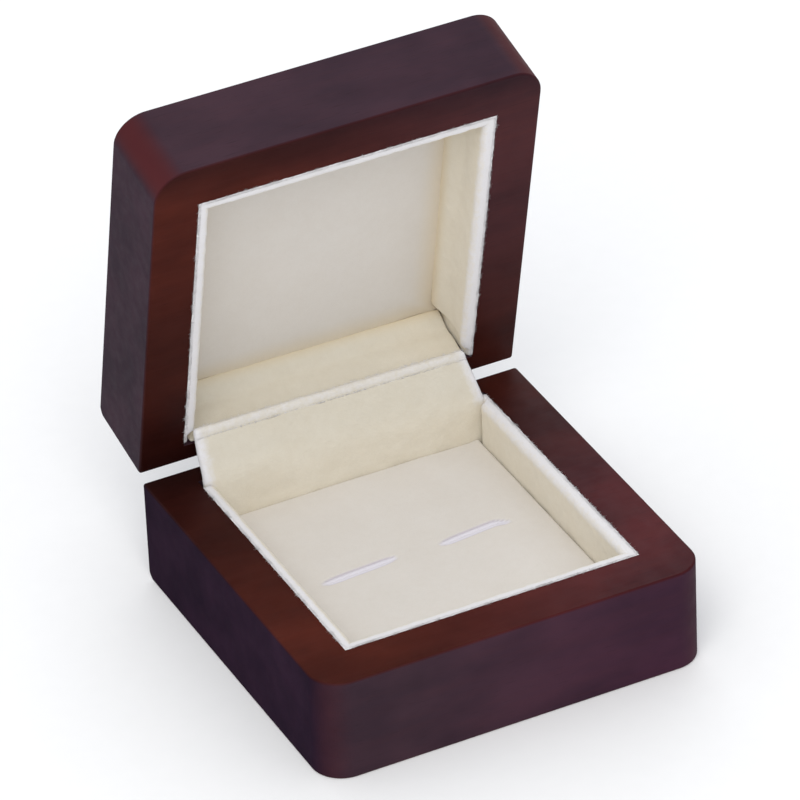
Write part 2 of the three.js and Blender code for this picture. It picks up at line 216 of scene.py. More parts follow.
def rounded_box(low, high, radius, step):
    """Points and faces of a closed box with all its edges rounded, meshed finely enough to be shaped."""
    lines = [grid_lines(low[i], high[i], radius, step[i]) for i in range(3)]
    counts = [len(line) for line in lines]
    index = {}
    verts = []

    def vertex(i, j, k):
        key = (i, j, k)
        if key not in index:
            p = Vector((lines[0][i], lines[1][j], lines[2][k]))
            core = Vector([min(max(p[a], low[a] + radius), high[a] - radius) for a in range(3)])
            out = p - core
            if out.length > 0:
                p = core + out.normalized() * radius
            index[key] = len(verts)
            verts.append(p)
        return index[key]

    faces = []
    for axis in range(3):
        u, v = [a for a in range(3) if a != axis]
        for end in (0, counts[axis] - 1):
            for i in range(counts[u] - 1):
                for j in range(counts[v] - 1):
                    corners = []
                    for di, dj in ((0, 0), (1, 0), (1, 1), (0, 1)):
                        key = [0, 0, 0]
                        key[axis], key[u], key[v] = end, i + di, j + dj
                        corners.append(vertex(*key))
                    faces.append(tuple(corners))
    return verts, faces


def read_points(obj):
    values = np.empty(len(obj.data.vertices) * 3)
    obj.data.vertices.foreach_get("co", values)
    return values.reshape(-1, 3)


def read_normals(obj):
    values = np.empty(len(obj.data.vertices) * 3)
    obj.data.vertex_normals.foreach_get("vector", values)
    return values.reshape(-1, 3)


def write_points(obj, points):
    obj.data.vertices.foreach_set("co", np.asarray(points).ravel())
    obj.data.update()


def ruffle(obj, pile, swell, swell_size):
    """Moves each point a little along its normal: pile is the random part, swell the slow part."""
    points, normals = read_points(obj), read_normals(obj)
    rng = np.random.default_rng(SEED + len(points))
    amount = pile * np.clip(rng.normal(0, 1, len(points)), -2, 2)
    if swell:
        amount = amount + swell * np.array([noise.noise(Vector(p) / swell_size) for p in points])
    write_points(obj, points + normals * amount[:, None])


def paint(obj, name, values):
    """Stores one number for each point, for the material to read."""
    layer = obj.data.attributes.new(name, "FLOAT", "POINT")
    layer.data.foreach_set("value", np.asarray(values, dtype=np.float32))


def ramp(value, low, high):
    """0 up to low, 1 from high, and smooth between."""
    share = np.clip((np.asarray(value, dtype=float) - low) / (high - low), 0, 1)
    return share * share * (3 - 2 * share)


def applied(obj):
    """Bakes an object's modifiers into its mesh."""
    graph = bpy.context.evaluated_depsgraph_get()
    mesh = bpy.data.meshes.new_from_object(obj.evaluated_get(graph))
    obj.modifiers.clear()
    obj.data = mesh


def cut(obj, cutters):
    for cutter in cutters:
        modifier = obj.modifiers.new("cut", "BOOLEAN")
        modifier.operation = "DIFFERENCE"
        modifier.solver = "EXACT"
        modifier.object = cutter
    bpy.context.view_layer.update()
    applied(obj)
    for cutter in cutters:
        bpy.data.objects.remove(cutter)


def cutter_box(low, high):
    x0, y0, z0 = low
    x1, y1, z1 = high
    ring = [(x0, y0), (x1, y0), (x1, y1), (x0, y1)]
    verts, faces = loft([[(x, y, z) for x, y in ring] for z in (z0, z1)])
    return mesh_object("cutter", verts, faces, WASTE)


def cutter_bar(radius, low_x, high_x, y, z, sides=64):
    ring = [
        (y + radius * math.cos(a), z + radius * math.sin(a))
        for a in (2 * math.pi * i / sides for i in range(sides))
    ]
    verts, faces = loft([[(x, b, c) for b, c in ring] for x in (low_x, high_x)])
    obj = mesh_object("cutter", verts, faces, WASTE)
    face_outward(obj)
    return obj


# ---------------------------------------------------------------- materials


class Nodes:
    """A short way to write a node material."""

    def __init__(self, name):
        self.material = bpy.data.materials.new(name)
        self.material.use_nodes = True
        self.tree = self.material.node_tree
        self.shader = self.tree.nodes["Principled BSDF"]
        self.place = self.tree.nodes.new("ShaderNodeTexCoord").outputs["Object"]

    def add(self, kind, inputs=None, **settings):
        node = self.tree.nodes.new(kind)
        for key, value in settings.items():
            setattr(node, key, value)
        for key, value in (inputs or {}).items():
            if isinstance(value, bpy.types.NodeSocket):
                self.tree.links.new(value, node.inputs[key])
            else:
                node.inputs[key].default_value = value
        return node

    def attribute(self, name):
        return self.add("ShaderNodeAttribute", attribute_name=name).outputs["Fac"]

    def noise(self, size, detail=3.0, rough=0.5, stretch=(1, 1, 1)):
        """Noise whose features are about size across, longer along an axis whose stretch is above 1."""
        scale = [1 / (size * s) for s in stretch]
        place = self.add("ShaderNodeMapping", {"Vector": self.place, "Scale": scale}).outputs["Vector"]
        inputs = {"Vector": place, "Scale": 1.0, "Detail": detail, "Roughness": rough}
        return self.add("ShaderNodeTexNoise", inputs).outputs["Fac"]

    def remap(self, value, low, high, to_low=0.0, to_high=1.0):
        inputs = {"Value": value, "From Min": low, "From Max": high, "To Min": to_low, "To Max": to_high}
        return self.add("ShaderNodeMapRange", inputs).outputs["Result"]

    def mix(self, share, a, b):
        node = self.add("ShaderNodeMix", data_type="RGBA")
        for socket, value in ((node.inputs[0], share), (node.inputs[6], a), (node.inputs[7], b)):
            if isinstance(value, bpy.types.NodeSocket):
                self.tree.links.new(value, socket)
            elif isinstance(value, (int, float)):
                socket.default_value = value
            else:
                socket.default_value = (*value, 1)
        return node.outputs[2]

    def multiplied(self, share, colour, by):
        """A share of 1 multiplies the colour by another, and 0 leaves it."""
        inputs = {0: share, 6: colour, 7: (*by, 1)}
        return self.add("ShaderNodeMix", inputs, data_type="RGBA", blend_type="MULTIPLY").outputs[2]

    def math(self, operation, a, b):
        return self.add("ShaderNodeMath", {0: a, 1: b}, operation=operation).outputs[0]

    def bump(self, height, distance, strength=1.0, over=None):
        inputs = {"Height": height, "Distance": distance, "Strength": strength}
        if over is not None:
            inputs["Normal"] = over
        return self.add("ShaderNodeBump", inputs).outputs["Normal"]

    def finish(self, **inputs):
        for key, value in inputs.items():
            socket = self.shader.inputs[key.replace("_", " ")]
            if isinstance(value, bpy.types.NodeSocket):
                self.tree.links.new(value, socket)
            else:
                socket.default_value = (*value, 1) if isinstance(value, tuple) and len(value) == 3 else value
        return self.material


# Linear colours of the wood: its rims, its outer faces with a painted bluish reflection in them, and what
# lies on them in places, among it a painted red highlight on the upright corners and worn edges that also
# stand for a painted highlight.
RIM_DARK, RIM_LIGHT = (0.052, 0.0085, 0.0042), (0.082, 0.0145, 0.0075)
OUTER_DARK_REFLECTED, OUTER_LIGHT_REFLECTED = (0.036, 0.0180, 0.0262), (0.056, 0.0262, 0.0362)
STREAK = (0.098, 0.0230, 0.0180)
PORE = (0.018, 0.0060, 0.0064)
CORNER_HIGHLIGHT_RED = (0.125, 0.026, 0.026)
WORN_EDGE_HIGHLIGHT = (0.12, 0.034, 0.022)
# Colours that these are multiplied by, all painted light: reflection towards the right, shade on end grain,
# shade near the hinges, shade on the front edge.
RIGHT_REFLECTION_TINT, END_GRAIN_SHADE, HINGE_SHADE, FRONT_EDGE_SHADE = (
    (1.2, 0.1, 1.0),
    (0.49, 0.50, 0.76),
    (0.14, 0.10, 0.12),
    (0.42, 0.42, 0.55),
)
# Colours of the velvet where it isn't plain, the second multiplied: painted shade deep in the corners,
# painted shade where it is dimmed, a painted white sheen along the rims, the slits' lilac banks, and painted
# shadow at the slits' edges.
CORNER_SHADE = (0.72, 0.60, 0.40)
DIM_SHADE = (0.87, 0.877, 0.885)
RIM_SHEEN = (0.765, 0.758, 0.785)
SLIT_BANK = (0.74, 0.715, 0.775)
SLIT_EDGE_SHADOW = (0.50, 0.455, 0.53)


def mahogany():
    """Satin mahogany: grain along X, short pores, redder patches, and painted light: a bluish reflection on
    the outer faces and towards the right, a red highlight on the upright corners and along the worn edges,
    and shade on end grain, near the hinges and along the front edge.
    """
    n = Nodes("mahogany")
    patches = n.noise(12 * MM, 3, 0.55, (1.8, 1, 1))
    bands = n.noise(1.3 * MM, 4, 0.6, (18, 1, 1))
    pores = n.noise(0.25 * MM, 2, 0.5, (14, 1, 1))
    place = n.add("ShaderNodeSeparateXYZ", {"Vector": n.place}).outputs
    outer = n.attribute("outer")
    apart = {axis: n.math("SUBTRACT", place[axis], HINGE["pos_m"][i]) for i, axis in ((1, "Y"), (2, "Z"))}
    to_hinge = n.add("ShaderNodeCombineXYZ", apart).outputs["Vector"]
    reach = n.add("ShaderNodeVectorMath", {0: to_hinge}, operation="LENGTH").outputs["Value"]
    # Where the rims take painted reflection: towards the right and away from the hinges.
    rightward = n.remap(place["X"], -22 * MM, 30 * MM, 0, 0.5)
    right_reflection = n.math("MULTIPLY", rightward, n.remap(reach, 8 * MM, 40 * MM))
    front = n.attribute("front")
    # Painted bluish reflection: full on the outer faces, and on the rims towards the right.
    painted_reflection = n.math("MAXIMUM", outer, n.math("MULTIPLY", right_reflection, front))
    dark = n.mix(painted_reflection, RIM_DARK, OUTER_DARK_REFLECTED)
    light = n.mix(painted_reflection, RIM_LIGHT, OUTER_LIGHT_REFLECTED)
    colour = n.mix(n.remap(patches, 0.36, 0.66), dark, light)
    # Where the painted reflection towards the right isn't haze, it is a painted redder, purpler tint.
    reflection_tint_share = n.math("MULTIPLY", right_reflection, n.math("SUBTRACT", 1.0, front))
    colour = n.multiplied(reflection_tint_share, colour, RIGHT_REFLECTION_TINT)
    streaks = n.math("MULTIPLY", n.remap(bands, 0.45, 0.75, 0, 0.20), n.remap(outer, 0, 1, 1, 0.4))
    colour = n.mix(streaks, colour, STREAK)
    colour = n.mix(n.remap(pores, 0.60, 0.74, 0, 0.30), colour, PORE)
    # Painted shade on the end grain, the faces turned to the sides.
    end = n.attribute("end")
    colour = n.multiplied(end, colour, END_GRAIN_SHADE)
    # Painted red highlight on the upright corners.
    colour = n.mix(n.math("MULTIPLY", n.attribute("corner_highlight"), 0.8), colour, CORNER_HIGHLIGHT_RED)
    on_rim = n.remap(outer, 0, 1, 1.0, 0.2)
    # Painted shade on the rims near the hinges, where the open lid hangs over them.
    shadow = n.remap(reach, 6 * MM, 62 * MM, 0.80, 0.0)
    near = n.math("MULTIPLY", shadow, n.remap(place["X"], 0, 34 * MM, 1, 0.65))
    colour = n.multiplied(n.math("MULTIPLY", near, on_rim), colour, HINGE_SHADE)
    # Painted shade along the rim's front edge.
    front_shade_share = n.math("MULTIPLY", front, n.math("MULTIPLY", n.remap(reach, 70 * MM, 77 * MM), on_rim))
    colour = n.multiplied(front_shade_share, colour, FRONT_EDGE_SHADE)
    # Worn edges, lighter, which also stand for a painted highlight along them.
    wear_and_highlight = edge_mask(n, 0.5 * MM)
    colour = n.mix(n.remap(wear_and_highlight, 0.02, 0.35, 0, 0.06), colour, WORN_EDGE_HIGHLIGHT)
    dust = n.noise(2.5 * MM, 4, 0.6)
    pits = n.math("ADD", n.remap(pores, 0.55, 0.75, 1, 0), n.math("MULTIPLY", n.noise(1.1 * MM, 2), 0.5))
    return n.finish(
        Base_Color=colour,
        Roughness=n.math("ADD", n.remap(dust, 0.3, 0.7, 0.42, 0.54), n.remap(end, 0, 1, 0, 0.2)),
        Specular_IOR_Level=n.remap(end, 0, 1, 0.08, 0.008),
        Specular_Tint=(0.55, 0.72, 1.0),
        Normal=n.bump(pits, 0.010 * MM, 0.5),
    )


def edge_mask(n, radius):
    """1 on an edge, falling to 0 within about radius of it."""
    soft = n.add("ShaderNodeBevel", {"Radius": radius}, samples=4).outputs["Normal"]
    true = n.add("ShaderNodeNewGeometry").outputs["Normal"]
    facing = n.add("ShaderNodeVectorMath", {0: soft, 1: true}, operation="DOT_PRODUCT").outputs["Value"]
    return n.math("SUBTRACT", 1.0, facing)


def velvet(name, pale, deep, pile_size=0.22 * MM):
    """Short cream pile: fine bump, brushed patches, a painted white sheen along rims, painted yellower shade
    deep in the corners, painted shade where dimmed, and painted shadow at the slits' edges.
    """
    n = Nodes(name)
    brushed = n.noise(9 * MM, 3, 0.6)
    mottled = n.noise(1.4 * MM, 3, 0.6)
    fibres = n.noise(pile_size, 2, 0.7)
    share = n.math("ADD", n.remap(brushed, 0.3, 0.7, 0, 0.6), n.remap(mottled, 0.3, 0.7, 0, 0.4))
    colour = n.mix(share, deep, pale)
    # Painted yellow shade deep in the corners.
    colour = n.mix(n.math("MULTIPLY", n.attribute("crease_shade"), 0.75), colour, CORNER_SHADE)
    # Painted shade where a piece is dimmed.
    colour = n.multiplied(n.attribute("painted_dim"), colour, DIM_SHADE)
    uneven = n.math("MULTIPLY", n.math("SUBTRACT", n.noise(0.9 * MM, 3, 0.6), 0.5), 0.8)
    # Painted white sheen along the rims, where the pile is seen edge-on.
    rim_sheen = n.remap(n.math("ADD", n.attribute("rim"), uneven), 0.20, 0.85, 0, 0.92)
    colour = n.mix(rim_sheen, colour, RIM_SHEEN)
    colour = n.mix(n.attribute("slit"), colour, SLIT_BANK)
    # Painted shadow at the slits' edges.
    colour = n.mix(n.math("MULTIPLY", n.attribute("slit_shadow"), 0.75), colour, SLIT_EDGE_SHADOW)
    colour = n.mix(n.remap(fibres, 0.25, 0.55, 0.15, 0), colour, tuple(c * 0.7 for c in deep))
    slow = n.bump(mottled, 0.05 * MM, 0.4)
    return n.finish(
        Base_Color=colour,
        Roughness=1.0,
        Specular_IOR_Level=0.1,
        Sheen_Weight=0.3,
        Sheen_Roughness=0.45,
        Sheen_Tint=(1.0, 0.99, 0.98),
        Normal=n.bump(fibres, 0.08 * MM, 0.6, slow),
    )


def metal(name, dark, light, roughness):
    """A small stamped fitting: brushed along X, with tarnish in slow patches."""
    n = Nodes(name)
    brushed = n.noise(0.12 * MM, 2, 0.6, (20, 1, 1))
    tarnish = n.noise(1.8 * MM, 4, 0.6)
    colour = n.mix(n.remap(tarnish, 0.35, 0.65), dark, light)
    return n.finish(
        Base_Color=colour,
        Metallic=1.0,
        Roughness=n.remap(brushed, 0.3, 0.7, roughness - 0.08, roughness + 0.1),
        Normal=n.bump(brushed, 0.006 * MM, 0.5),
    )


def felt():
    n = Nodes("felt")
    fibres = n.noise(0.3 * MM, 5, 0.75)
    clumps = n.noise(3 * MM, 3, 0.6)
    colour = n.mix(n.remap(clumps, 0.3, 0.7), (0.018, 0.007, 0.006), (0.035, 0.014, 0.011))
    colour = n.mix(n.remap(fibres, 0.5, 0.7, 0, 0.5), colour, (0.075, 0.035, 0.028))
    return n.finish(Base_Color=colour, Roughness=1.0, Sheen_Weight=0.3, Normal=n.bump(fibres, 0.15 * MM, 0.7))


def card():
    n = Nodes("card")
    fibres = n.noise(0.5 * MM, 4, 0.65, (3, 1, 1))
    colour = n.mix(n.remap(fibres, 0.3, 0.7), (0.36, 0.28, 0.17), (0.55, 0.45, 0.29))
    return n.finish(Base_Color=colour, Roughness=0.92, Normal=n.bump(fibres, 0.05 * MM, 0.4))


WASTE = bpy.data.materials.new("waste")
MAHOGANY = mahogany()
VELVET = velvet("velvet", (0.775, 0.725, 0.618), (0.728, 0.668, 0.550))
PAD_VELVET = velvet("pad_velvet", (0.73, 0.697, 0.655), (0.70, 0.66, 0.61), 0.18 * MM)
BRASS = metal("brass", (0.36, 0.21, 0.07), (0.62, 0.42, 0.17), 0.34)
STEEL = metal("steel", (0.33, 0.33, 0.33), (0.56, 0.56, 0.55), 0.3)
FELT = felt()
CARD = card()


# ---------------------------------------------------------------- wooden blocks


def arc_points(cx, cy, radius, start, steps):
    """A quarter turn from a starting angle in degrees."""
    turns = [math.radians(start + 90 * i / steps) for i in range(steps + 1)]
    return [(cx + radius * math.cos(a), cy + radius * math.sin(a)) for a in turns]


def plan_ring(inset):
    """The blocks' plan, shrunk by inset."""
    x, front, rear = BASE_HIGH.x - inset, BASE_LOW.y + inset, BASE_HIGH.y - inset
    wide, narrow = FRONT_CORNER_R - inset, REAR_CORNER_R - inset
    points = arc_points(x - wide, front + wide, wide, -90, 20)
    points += arc_points(x - narrow, rear - narrow, narrow, 0, 8)
    points += arc_points(-x + narrow, rear - narrow, narrow, 90, 8)
    points += arc_points(-x + wide, front + wide, wide, 180, 20)
    return points


def edge_levels(low, high, steps=5):
    """(height, inset) pairs that round the bottom and top edges of a block."""
    bends = [math.pi / 2 * i / steps for i in range(steps + 1)]
    rise = [(EDGE_BREAK * (1 - math.sin(b)), EDGE_BREAK * (1 - math.cos(b))) for b in reversed(bends)]
    bottom = [(low + up, inset) for up, inset in rise]
    top = [(high - up, inset) for up, inset in reversed(rise)]
    return bottom + top


def rear_edge_waste(edge_z, outer):
    """What is taken off a long rear edge to round it: outer is +1 on top, -1 underneath."""
    centre_y = BASE_HIGH.y - REAR_EDGE_R
    centre_z = edge_z - outer * REAR_EDGE_R
    far = BASE_HIGH.x + 5 * MM
    spare = 1 * MM
    levels = sorted((centre_z, edge_z + outer * spare))
    waste = cutter_box((-far, centre_y, levels[0]), (far, BASE_HIGH.y + spare, levels[1]))
    cut(waste, [cutter_bar(REAR_EDGE_R, -far - spare, far + spare, centre_y, centre_z, 96)])
    return waste


def mortise(leaf_low, leaf_high, side):
    """Room in a rim for one hinge leaf: side is +1 for the lid, -1 for the base."""
    level = LID_RIM if side > 0 else RIM
    z0, z1 = sorted((level + side * LEAF_SEAT[side], level - side * MM))
    return cutter_box(
        (leaf_low.x - CLEARANCE, leaf_low.y - CLEARANCE, z0),
        (leaf_high.x + CLEARANCE, BASE_HIGH.y + MM, z1),
    )


def knuckle_room(leaf_low, leaf_high):
    """Room in a rear edge for one hinge's knuckle."""
    _, y, z = HINGE["pos_m"]
    return cutter_bar(KNUCKLE_R + CLEARANCE, leaf_low.x - CLEARANCE, leaf_high.x + CLEARANCE, y, z)


def paint_light_marks(block, end_shade, corner_highlight, front):
    """Marks for the material, one number a face.

    outer is how far it looks outward, and with it how much painted bluish reflection it shows; end how much
    painted shade its end grain takes; warm how much painted red highlight it takes for lying on an upright
    corner. front is how much painted shade the rim takes along its front edge, and how far the painted
    reflection towards the right turns it hazy instead of red.
    """
    normals = [face.normal for face in block.data.polygons]
    corner = [4 * (v.x * v.y) ** 2 for v in normals]
    marks = {
        "outer": [max(0.0, 1 - abs(v.z) - (0.1 + 0.5 * corner_highlight) * c) for v, c in zip(normals, corner)],
        "end": [end_shade * v.x**2 for v in normals],
        "corner_highlight": [corner_highlight * c for c in corner],
        "front": [front] * len(normals),
    }
    for name, values in marks.items():
        block.data.attributes.new(name, "FLOAT", "FACE").data.foreach_set("value", values)


def wood_block(name, node, low_z, high_z, pocket_low, pocket_high, outer, leaves):
    """A block with its pocket and hinge seats. outer is +1 where the outer face is on top, -1 underneath."""
    rings = [[(x, y, z) for x, y in plan_ring(inset)] for z, inset in edge_levels(low_z, high_z)]
    verts, faces = loft(rings)
    block = mesh_object(name, verts, faces, MAHOGANY)
    face_outward(block)
    waste = [rear_edge_waste(high_z if outer > 0 else low_z, outer), cutter_box(pocket_low, pocket_high)]
    for low, high in leaves:
        waste.append(mortise(low, high, outer))
        waste.append(knuckle_room(low, high))
    cut(block, waste)
    block.data.materials.clear()
    block.data.materials.append(MAHOGANY)
    block.data.polygons.foreach_set("material_index", [0] * len(block.data.polygons))
    block.data.shade_smooth()
    block.data.set_sharp_from_angle(angle=math.radians(SHARP_WOOD))
    paint_light_marks(block, *(BASE_LIGHT_MARKS if outer < 0 else LID_LIGHT_MARKS))
    weighted = block.modifiers.new("weighted", "WEIGHTED_NORMAL")
    weighted.keep_sharp = True
    weighted.weight = 100
    applied(block)
    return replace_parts(block, node)


def base_wood():
    left_low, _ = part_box("base_liner_left")
    _, right_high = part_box("base_liner_right")
    front_low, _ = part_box("base_liner_front")
    _, fixed_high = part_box("flap_fixed_board")
    card_low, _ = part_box("pad_card")
    pocket_low = (left_low.x - LINER_GAP, front_low.y - LINER_GAP, card_low.z - CLEARANCE)
    pocket_high = (right_high.x + LINER_GAP, fixed_high.y + CLEARANCE, RIM + MM)
    leaves = [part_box(f"hinge_base_leaf_{side}") for side in ("left", "right")]
    block = wood_block("base_wood", "base_block", 0, RIM, pocket_low, pocket_high, -1, leaves)
    felt_low, felt_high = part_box("base_felt")
    recess = cutter_box(
        (felt_low.x - CLEARANCE, felt_low.y - CLEARANCE, -MM),
        (felt_high.x + CLEARANCE, felt_high.y + CLEARANCE, felt_high.z + CLEARANCE),
    )
    cut(block, [recess])
    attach(block, "base")


def lid_wood():
    left_low, _ = shut_box("lid_liner_left")
    _, right_high = shut_box("lid_liner_right")
    front_low, _ = shut_box("lid_liner_front")
    _, rear_high = shut_box("lid_liner_rear")
    _, panel_high = shut_box("lid_panel")
    pocket_low = (left_low.x - LINER_GAP, front_low.y - LINER_GAP, LID_RIM - MM)
    pocket_high = (right_high.x + LINER_GAP, rear_high.y + LINER_GAP, panel_high.z + CLEARANCE)
    leaves = [shut_box(f"hinge_lid_leaf_{side}") for side in ("left", "right")]
    block = wood_block("lid_wood", "lid_block", LID_RIM, LID_HIGH.z, pocket_low, pocket_high, 1, leaves)
    block.data.transform(LID_OPEN)
    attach(block, "lid")


# ---------------------------------------------------------------- velvet covered boards


def board_section(depth, step=0.5 * MM, arc_steps=6):
    """Outline of a board with rounded edges: (across, below), across from its wooden side, below its edge."""
    bends = [math.pi / 2 * i / arc_steps for i in range(arc_steps + 1)]

    def levels(radius):
        count = round((depth - radius) / step)
        return [radius + (depth - radius) * i / count for i in range(count, 0, -1)]

    def arc(radius):
        return [(radius * (1 - math.cos(b)), radius * (1 - math.sin(b))) for b in bends]

    wood_side = [(0.0, below) for below in levels(WOOD_SIDE_R)] + arc(WOOD_SIDE_R)
    room_side = [(0.0, below) for below in levels(ROOM_SIDE_R)] + arc(ROOM_SIDE_R)
    return wood_side + [(BOARD_T - across, below) for across, below in reversed(room_side)]


def end_drop(distance):
    """How far a rounded end has fallen at a distance in from its tip."""
    left = min(max(0.0, BOARD_END_R - distance), BOARD_END_R)
    return BOARD_END_R - math.sqrt(BOARD_END_R**2 - left**2)


class Fringe:
    """Loose fibres of the pile, each a thin closed spike."""

    def __init__(self, name):
        self.random = random.Random(f"{SEED}{name}")
        self.verts = []
        self.faces = []

    def spike(self, root, tip):
        """tip is measured from the root."""
        lean = tip.normalized()
        side = lean.orthogonal().normalized()
        other = lean.cross(side)
        width = self.random.uniform(*FIBRE_R)
        start = len(self.verts)
        for k in range(3):
            a = 2 * math.pi * k / 3
            self.verts.append(root + side * (width * math.cos(a)) + other * (width * math.sin(a)))
        self.verts.append(root + tip)
        self.faces.append((start, start + 2, start + 1))
        self.faces += [(start + k, start + (k + 1) % 3, start + 3) for k in range(3)]

    def along(self, first, last, outward, up, per_mm=36, spread=0.35 * MM, longest=1.15 * MM):
        """Fibres rooted up to spread behind a line, lying outward and hardly up, in tufts of any length."""
        line = last - first
        pick = self.random.uniform
        for _ in range(int(line.length / MM * per_mm)):
            at = pick(0, 1)
            root = first + line * at - outward * (spread * pick(0, 1))
            tuft = 0.65 + 0.7 * noise.noise(root / (0.8 * MM))
            flat = (outward * pick(0.5, 1.0) + line.normalized() * pick(-0.8, 0.8)).normalized()
            self.spike(root, flat * (tuft * pick(0.4, 1.0) * longest) + up * pick(0.0, FIBRE_RISE))

    def add_to(self, obj):
        fuzz = mesh_object("fuzz", self.verts, self.faces, obj.data.materials[0])
        face_outward(fuzz)
        # The loose fibres take the painted white sheen in full.
        paint(fuzz, "rim", np.ones(len(self.verts)))
        join(obj, fuzz)


def join(target, other):
    """Adds another object's mesh to a target's and removes the other."""
    bm = bmesh.new()
    bm.from_mesh(target.data)
    bm.from_mesh(other.data)
    bm.to_mesh(target.data)
    bm.free()
    bpy.data.objects.remove(other)
    target.data.update()


class Pocket:
    """Where the boards round one wooden pocket go: its corners, its rim, and which way the rim faces."""

    def __init__(self, prefix, low, high, rim, rise, depth, body, place=None):
        self.prefix, self.low, self.high = prefix, low, high
        self.edge = rim + rise * PROUD
        self.rise, self.depth = rise, depth
        self.body, self.place = body, place


def velvet_board(pocket, side, start, along, inward, length, mitred, swell, thin, faded):
    """One velvet covered board of a pocket.

    start is the board's wooden side at its first end, which is mitred. mitred says whether the last end is
    too, or is rounded, and swell how far the deep edge comes inward at each end. thin is the share of its
    thickness that the last end loses, and faded the share of the white missing on its edge's room side.
    """
    rise, depth = pocket.rise, pocket.depth
    section = board_section(depth)
    count = round(length / BOARD_STEP)
    rings, rim, crease_shade = [], [], []
    for i in range(count + 1):
        ring = []
        at = swell[0] + (swell[1] - swell[0]) * i / count
        spill = SPILL * (0.8 + noise.noise(Vector((i * 0.55, pocket.edge / MM, length / MM))))
        for across, below in section:
            if across < WOOD_SIDE_R * 1.01:
                across -= spill * (1 - float(ramp(below, *LIP)))
            push = at * float(ramp(below, depth - FILLET, depth)) * across / BOARD_T
            first = across + push
            last = length - (across + push if mitred else 0.0)
            run = first + (last - first) * i / count
            sink = 0.0
            if not mitred:
                sink = max(0.0, end_drop(length - run))
                push *= 1 - 0.8 * float(ramp(run, length - 6 * MM, length - 2 * MM))
            narrow = 1 - 0.3 * sink / BOARD_END_R if thin < 0.5 else 1
            thin_at = length - THIN_FROM
            if rise < 0:
                thin_at -= THIN_EARLIER * float(ramp(below, 0.3 * MM, 1.9 * MM))
            narrow -= thin * float(ramp(run, thin_at, thin_at + THIN_OVER))
            point = start + along * run + inward * (across * narrow + push)
            point.z = pocket.edge - rise * (below + sink * max(0.0, 1 - below / (3 * MM)))
            ring.append(point)
            # Painted white sheen along the board's edge, less on its room side.
            inner = faded * float(ramp(across, 1.0 * MM, 2.1 * MM))
            rim.append((1 - inner) * (1 - float(ramp(below, 0.4 * WHITE_BAND, 2.8 * WHITE_BAND))))
            # Painted shade at the board's deep end.
            crease_shade.append(0.8 * ramp(below, depth - 3 * MM, depth))
        rings.append(ring)
    verts, faces = loft(rings)
    name = f"{pocket.prefix}_{side}_velvet"
    board = mesh_object(name, verts, faces, VELVET)
    paint(board, "rim", rim)
    paint(board, "crease_shade", crease_shade)
    face_outward(board)
    ruffle(board, 0.016 * MM, 0.12 * MM, 2.2 * MM)
    keep_off_wood(board, pocket, start, inward)
    board.data.set_sharp_from_angle(angle=math.radians(SHARP_VELVET))
    fringe = Fringe(name)
    root = Vector((0, 0, pocket.edge - rise * 0.02 * MM)) + inward * (0.3 * MM)
    up = Vector((0, 0, rise))
    first, last = (start + along * s + root for s in (0.2 * MM, length - 0.4 * MM))
    fringe.along(first, last, -inward, up)
    if not mitred:
        fringe.along(last, last + inward * (BOARD_T * 0.6 * (1 - thin)), along, up, 14)
    fringe.add_to(board)
    if pocket.place is not None:
        board.data.transform(pocket.place)
    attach(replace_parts(board, f"{pocket.prefix}_liner_{side}"), pocket.body)


def keep_off_wood(board, pocket, start, inward):
    """Moves points beyond a board's wooden side back to it, and lays the pile near the rim flat over it."""
    points = read_points(board)
    across = (points - np.array(start)) @ np.array(inward)
    below = pocket.rise * (pocket.edge - points[:, 2])
    on_rim = (across < RIM_ZONE[0]) & (below < RIM_ZONE[1])
    points -= np.where(on_rim, 0, np.minimum(across, 0))[:, None] * np.array(inward)
    below = np.maximum(np.where(on_rim, np.minimum(below, 0.8 * PROUD), below), 0)
    points[:, 2] = pocket.edge - pocket.rise * below
    write_points(board, points)


def boards_round(pocket, rear, swell_front, swell_rear, thin=(0, 0)):
    """The front, left and right boards.

    rear says how far back the left and right ones reach, and thin the share of their thickness that they lose
    there, which makes room for the flap's ends.
    """
    x0, x1, front = pocket.low.x, pocket.high.x, pocket.low.y
    right, back = Vector((1, 0, 0)), Vector((0, 1, 0))
    corner = Vector((x0, front, 0))
    far = Vector((x1, front, 0))
    swell = (swell_front, swell_rear)
    fade = 0.85 if pocket.rise > 0 else 0.4
    velvet_board(pocket, "front", corner, right, back, x1 - x0, True, (swell_front, swell_front), 0, fade)
    velvet_board(pocket, "left", corner, back, right, rear[0] - front, False, swell, thin[0], fade)
    velvet_board(pocket, "right", far, back, -right, rear[1] - front, False, swell, thin[1], 0.3)


def pocket_corners(front, left, right):
    """Lowest and highest corner of a pocket's clear width, from the boxes of the CAD boards that line it."""
    slack = LINER_GAP - BOARD_GAP
    low = Vector((left[0].x - slack, front[0].y - slack, 0))
    return low, Vector((right[1].x + slack, 0, 0))


def base_boards():
    front, left, right = (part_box(f"base_liner_{side}") for side in ("front", "left", "right"))
    low, high = pocket_corners(front, left, right)
    pocket = Pocket("base", low, high, RIM, 1, left[1].z - left[0].z, "base")
    boards_round(pocket, (left[1].y + 0.2 * MM, right[1].y + 1.7 * MM), 0, 0, thin=(0, 0.6))


def lid_boards():
    front, left, right = (shut_box(f"lid_liner_{side}") for side in ("front", "left", "right"))
    low, high = pocket_corners(front, left, right)
    pocket = Pocket("lid", low, high, LID_RIM, -1, left[1].z - LID_RIM + 0.2 * MM, "lid", LID_OPEN)
    boards_round(pocket, (left[1].y - 0.6 * MM, right[1].y), 1.9 * MM, 1.1 * MM, thin=(0.75, 0.55))


# ---------------------------------------------------------------- other velvet pieces


